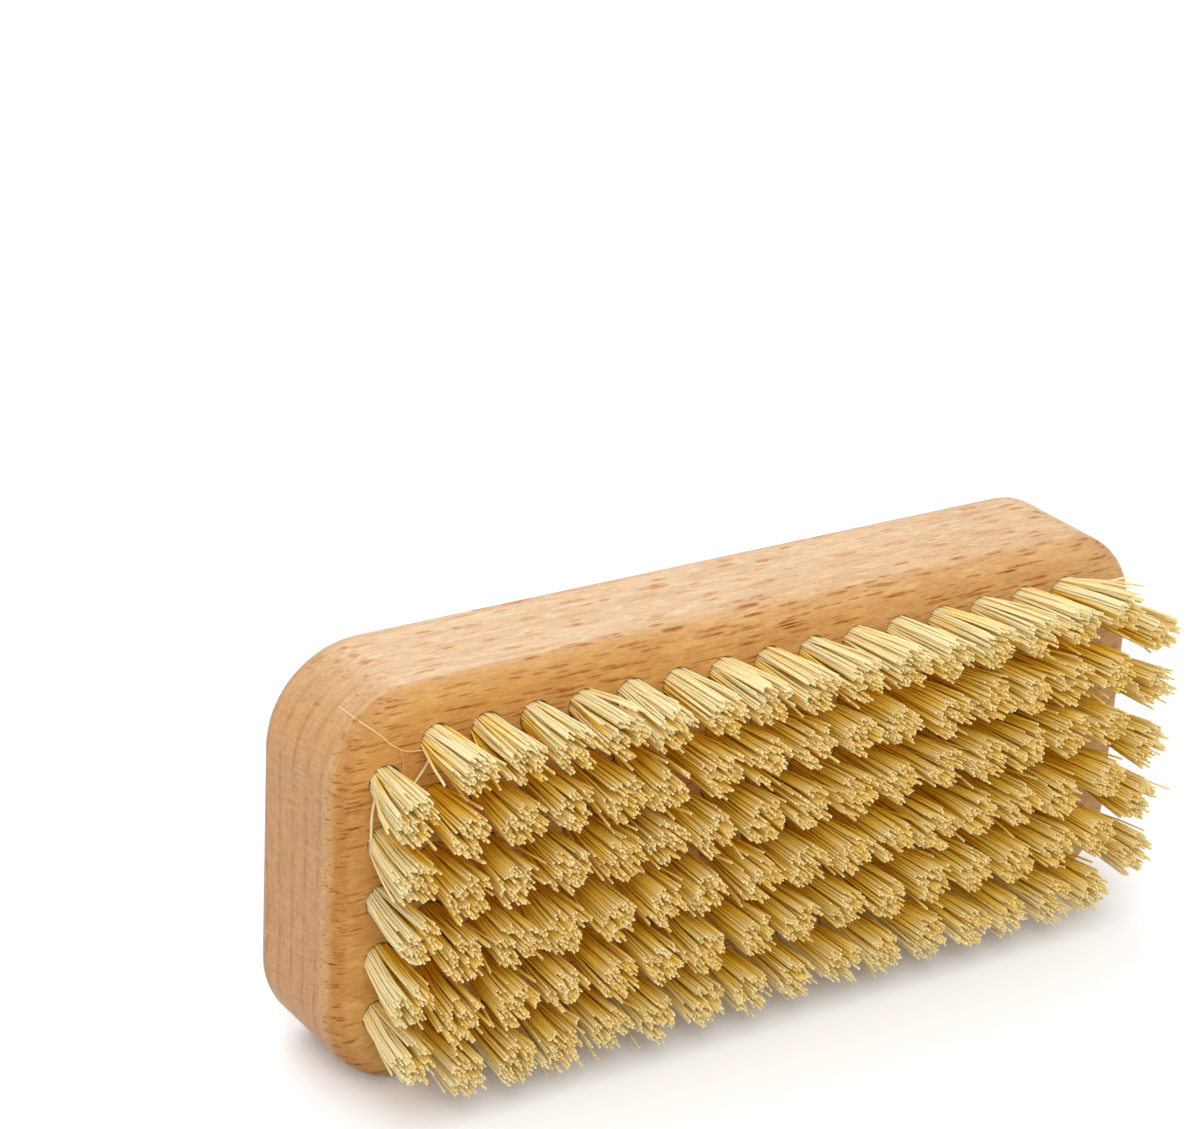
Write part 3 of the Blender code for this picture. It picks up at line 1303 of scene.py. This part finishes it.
    def courses(self, hole: Vector, draws: random.Random) -> list[Course]:
        """Work out the fibres of one tuft.

        Args:
            hole: Middle of the hole's rim.
            draws: The tuft's random numbers.

        Returns:
            The courses of its fibres.
        """
        lean = Vector((hole.x, hole.y, 0)) * self.lean_share
        lean += Vector((draws.gauss(0, self.tuft_lean), draws.gauss(0, self.tuft_lean), 0))
        tip_radius = self.tip_radius
        fullness = draws.uniform(*self.fullness)
        start = draws.uniform(0, math.tau)
        clumps = self.clumps_of(draws)
        made = []
        for number in range(self.fibres_per_tuft):
            legs = []
            for side in (0, 1):
                share = math.sqrt((2 * number + side + 0.5) / (2 * self.fibres_per_tuft))
                angle = start + number * GOLDEN_ANGLE + side * math.pi
                way = Vector((math.cos(angle), math.sin(angle), 0))
                root = way * share * self.root_radius
                reach = share * tip_radius * fullness * draws.uniform(*self.reach_spread)
                tip = Matrix.Rotation(draws.gauss(0, self.twist_spread), 3, "Z") @ way * reach
                if draws.random() < self.stray_share:
                    tip *= 1 + draws.uniform(*self.stray_spread) * self.stray_reach / tip_radius
                else:
                    clump, offset = min(clumps, key=lambda pair: (pair[0] - way * share).length)
                    tip = tip.lerp(clump * tip_radius * fullness, self.clump_pull) + offset
                tip += lean
                dip = (tip - root).to_2d().length_squared / (2 * self.bristle_length)
                height = self.bristle_length + draws.gauss(0, self.length_spread) - dip
                tip.z = min(height + tip.z, self.bristle_length + self.longest_over)
                legs.append(self.leg(hole, root, tip, draws))
            fold = hole + Vector((
                0, (legs[0][-1][0].y + legs[1][-1][0].y) / 2 - hole.y,
                -self.wire_depth - self.fold_drop - draws.uniform(0, self.fold_spread)))
            way = legs[0] + [(fold, 0.0)] + legs[1][::-1]
            first, second = (
                self.tone_of(hole, (leg[-2][0] - hole).to_2d().to_3d(), share, draws) for leg in legs)
            made.append(Course(
                [point for point, _ in way], [height for _, height in way],
                draws.uniform(self.thinnest, self.thickest), (first, second),
                (legs[0][0][0] - hole).to_2d().to_3d(), self.drawing.cuts(draws)))
        return made

    def build(self) -> list[Piece]:
        """Build a piece for each CAD node of tufts.

        Returns:
            The pieces.
        """
        pieces = []
        for number, (node, holes) in enumerate(self.pattern.sets()):
            shape = bmesh.new()
            courses = []
            for index, hole in enumerate(holes):
                draws = random.Random(self.seed * 10_000 + number * 10 + index)
                courses += self.courses(hole, draws)
            self.drawing.draw(shape, courses)
            piece = add_piece(
                f"fibres_{node[-4:]}", shape, self.pattern.to_frame, [self.fibre], self.sharp_degrees)
            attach(piece, BODY)
            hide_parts(node)
            pieces.append(piece)
        return pieces


@dataclass(frozen=True)
class LooseFibre:
    """One fibre that has come away from its tuft.

    Attributes:
        points: Places that it passes through, face up, in millimetres.
        radius: Its radius in millimetres.
        tone: Its tone, from the palest, 0, to the most golden.
    """

    points: tuple[Triple, ...]
    radius: float = 0.15
    tone: int = 2


@dataclass
class LooseFibres:
    """The few loose fibres that lie on the block or stick out sideways."""

    pattern: HolePattern
    drawing: FibreDrawing
    fibre: Material
    rings: int = 10
    seed: int = 5
    sharp_degrees: float = 60.0
    fibres: tuple[LooseFibre, ...] = (
        LooseFibre((
            (-38.6, 14.6, 0.25), (-41.0, 15.1, 0.12), (-43.4, 17.3, -0.10), (-44.2, 17.9, -1.0),
            (-44.6, 18.1, -4.9)), 0.05, 5),
        LooseFibre(((-41.0, 15.1, 0.15), (-40.7, 13.9, 0.2), (-40.5, 12.5, 0.1)), 0.035, 14),
        LooseFibre((
            (-37.6, 14.2, -0.4), (-37.89, 13.73, 0.2), (-38.7, 12.6, 0.35), (-39.65, 11.35, 0.3)), 0.13),
        LooseFibre((
            (-43.3, 11.9, -0.4), (-43.46, 11.39, 0.2), (-44.1, 9.55, 0.7), (-43.9, 6.77, 0.3)), 0.16),
        LooseFibre(((37.9, 15.5, -0.5), (38.8, 15.9, 0.8), (41.25, 16.5, 2.3), (43.55, 16.6, 2.5)), 0.13),
        LooseFibre(((37.4, 15.9, -0.5), (37.9, 16.2, 0.9), (39.2, 16.4, 3.2), (40.8, 16.33, 5.3)), 0.15),
        LooseFibre(((43.4, 11.2, -0.5), (43.8, 10.8, 0.9), (44.7, 9.8, 3.2), (45.32, 8.8, 5.3)), 0.15, 6),
        LooseFibre((
            (-25.8, -16.1, -0.5), (-25.6, -16.5, 1.0), (-25.0, -17.7, 4.5), (-24.35, -18.69, 7.8)),
            0.16, 5),
    )

    def course(self, loose: LooseFibre, draws: random.Random) -> Course:
        """Work out one loose fibre's course, on a smooth curve through its points.

        Args:
            loose: The fibre.
            draws: Random numbers for its cut ends.

        Returns:
            Its course.
        """
        given = [Vector(point) * MM for point in loose.points]
        padded = [2 * given[0] - given[1], *given, 2 * given[-1] - given[-2]]
        shares = [number / (self.rings - 1) for number in range(self.rings)]
        points = []
        for share in shares:
            place = share * (len(given) - 1)
            start = min(int(place), len(given) - 2)
            before, first, second, after = padded[start:start + 4]
            part = place - start
            bend = 2 * before - 5 * first + 4 * second - after
            twist = 3 * (first - second) + after - before
            points.append(
                first + ((second - before) * part + bend * part ** 2 + twist * part ** 3) / 2)
        heights = [MAP_MOUTH + MAP_FREE * share for share in shares]
        return Course(
            points, heights, loose.radius * MM, (loose.tone, loose.tone), Vector((0, 0, 1)),
            self.drawing.cuts(draws))

    def build(self) -> Piece:
        """Build the loose fibres as one piece.

        Returns:
            The piece.
        """
        shape = bmesh.new()
        draws = random.Random(self.seed)
        self.drawing.draw(shape, [self.course(loose, draws) for loose in self.fibres])
        piece = add_piece(
            "loose_fibres", shape, self.pattern.to_frame, [self.fibre], self.sharp_degrees)
        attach(piece, BODY)
        return piece


@dataclass(frozen=True)
class Lamp:
    """A square soft lamp, with its place, the length of its side and its power in watts."""

    name: str
    place: Triple
    side: float
    power: float


@dataclass
class Studio:
    """Pale floor, soft lamps and the camera."""

    floor_side: float = 6.0
    floor_shade: Triple = (0.55, 0.54, 0.52)
    floor_roughness: float = 0.9
    floor_gloss: float = 0.1
    # What the camera sees of the floor: its shade near the brush, and plain white past it.
    seen_shade: Triple = (1.11, 1.12, 1.145)
    seen_glow: float = 0.02
    near: float = 0.10
    far: float = 0.24
    world_level: float = 0.63
    middle: Triple = (0, 0, 0.02)
    lamps: tuple[Lamp, ...] = (
        Lamp("top_lamp", (-0.20, -0.05, 0.80), 0.70, 1.35),
        Lamp("front_lamp", (-0.28, -0.50, 0.42), 0.45, 2.0),
        Lamp("side_lamp", (0.55, -0.25, 0.35), 0.40, 0.35),
        Lamp("back_lamp", (0.10, 0.55, 0.50), 0.50, 1.2),
    )
    camera_place: Triple = (-0.18377034, -0.24025641, 0.1733447)
    camera_aim: Triple = (-0.00754546, 0.01578751, 0.04016174)
    camera_roll_degrees: float = 3.222
    camera_near: float = 0.01
    lens: float = 102.77
    sensor: float = 36.0

    def lay_floor(self) -> None:
        """Lay the floor, which looks white to the camera but keeps the brush's shadow."""
        surface = Surface("studio_floor")
        shader = surface.shader
        surface.feed(shader.inputs["Base Color"], self.floor_shade)
        surface.feed(shader.inputs["Roughness"], self.floor_roughness)
        surface.feed(shader.inputs["Specular IOR Level"], self.floor_gloss)
        reach = surface.node("ShaderNodeVectorMath", {0: surface.own()}, operation="LENGTH")
        away = surface.span(reach.outputs["Value"], self.near, self.far, smooth=True)
        strength = surface.span(away, 0.0, 1.0, self.seen_glow, 1.0)
        shade = surface.node("ShaderNodeBsdfDiffuse", {"Color": self.seen_shade}).outputs[0]
        glow = surface.node("ShaderNodeEmission", {"Color": WHITE, "Strength": strength}).outputs[0]
        bright = surface.node("ShaderNodeAddShader", {0: shade, 1: glow}).outputs[0]
        mix = surface.node("ShaderNodeMixShader", {0: surface.seen(), 1: shader.outputs[0], 2: bright})
        surface.feed(surface.tree.nodes["Material Output"].inputs["Surface"], mix.outputs[0])
        shape = bmesh.new()
        bmesh.ops.create_grid(shape, x_segments=1, y_segments=1, size=self.floor_side / 2)
        floor = add_piece("floor", shape, Matrix(), [surface.material])

    def light_world(self) -> None:
        """Make the world: white where it is seen, and a soft light everywhere."""
        world = bpy.data.worlds.new("studio")
        world.use_nodes = True
        bpy.context.scene.world = world
        wiring = Wiring(world.node_tree)
        inputs = world.node_tree.nodes["Background"].inputs
        wiring.feed(inputs["Color"], WHITE)
        wiring.feed(inputs["Strength"], wiring.span(wiring.seen(), 0.0, 1.0, self.world_level, 1.0))

    def hang_lamp(self, lamp: Lamp) -> None:
        """Hang a lamp that points at the brush.

        Args:
            lamp: The lamp.
        """
        light = bpy.data.lights.new(lamp.name, "AREA")
        light.shape = "SQUARE"
        light.size = lamp.side
        light.energy = lamp.power
        self.aim(add_object(lamp.name, light), lamp.place, self.middle)

    def place_camera(self) -> None:
        """Set the camera at the photograph's viewing angle."""
        camera = bpy.data.cameras.new("camera")
        camera.lens = self.lens
        camera.sensor_width = self.sensor
        camera.clip_start = self.camera_near
        placed = add_object("camera", camera)
        self.aim(placed, self.camera_place, self.camera_aim, self.camera_roll_degrees)
        bpy.context.scene.camera = placed

    @staticmethod
    def aim(placed: Piece, place: Triple, target: Triple, roll_degrees: float = 0.0) -> None:
        """Put a lamp or a camera in its place and point it.

        Args:
            placed: The lamp or the camera.
            place: Where it goes.
            target: What it points at.
            roll_degrees: How far it is rolled about its own line of sight.
        """
        placed.location = place
        placed.rotation_mode = "QUATERNION"
        look = (Vector(target) - Vector(place)).to_track_quat("-Z", "Y")
        placed.rotation_quaternion = look @ Quaternion((0, 0, 1), math.radians(roll_degrees))

    def build(self) -> None:
        """Build the studio."""
        bpy.context.scene.view_settings.view_transform = "Standard"
        self.lay_floor()
        self.light_world()
        for lamp in self.lamps:
            self.hang_lamp(lamp)
        self.place_camera()


def main() -> None:
    """Build the brush and its studio."""
    logging.basicConfig(level=logging.INFO, format="%(name)s: %(message)s")
    effects = Effects()
    pattern = HolePattern()
    fibre = PlantFibre(effects)
    block = Block(pattern, Beech(effects).make(), ShadedHoleWall(effects).make()).build()
    wires = AnchorWires(pattern, DrawnSteel(effects).make()).build()
    drawing = FibreDrawing(fibre.tones)
    fibre_finish = fibre.make()
    tufts = Tufts(pattern, drawing, fibre_finish).build()
    loose = LooseFibres(pattern, drawing, fibre_finish).build()
    for piece in [block, wires, *tufts, loose]:
        LOG.info("%s has %d faces", piece.name, len(piece.data.polygons))
    Studio().build()


if __name__ == "__main__":
    main()
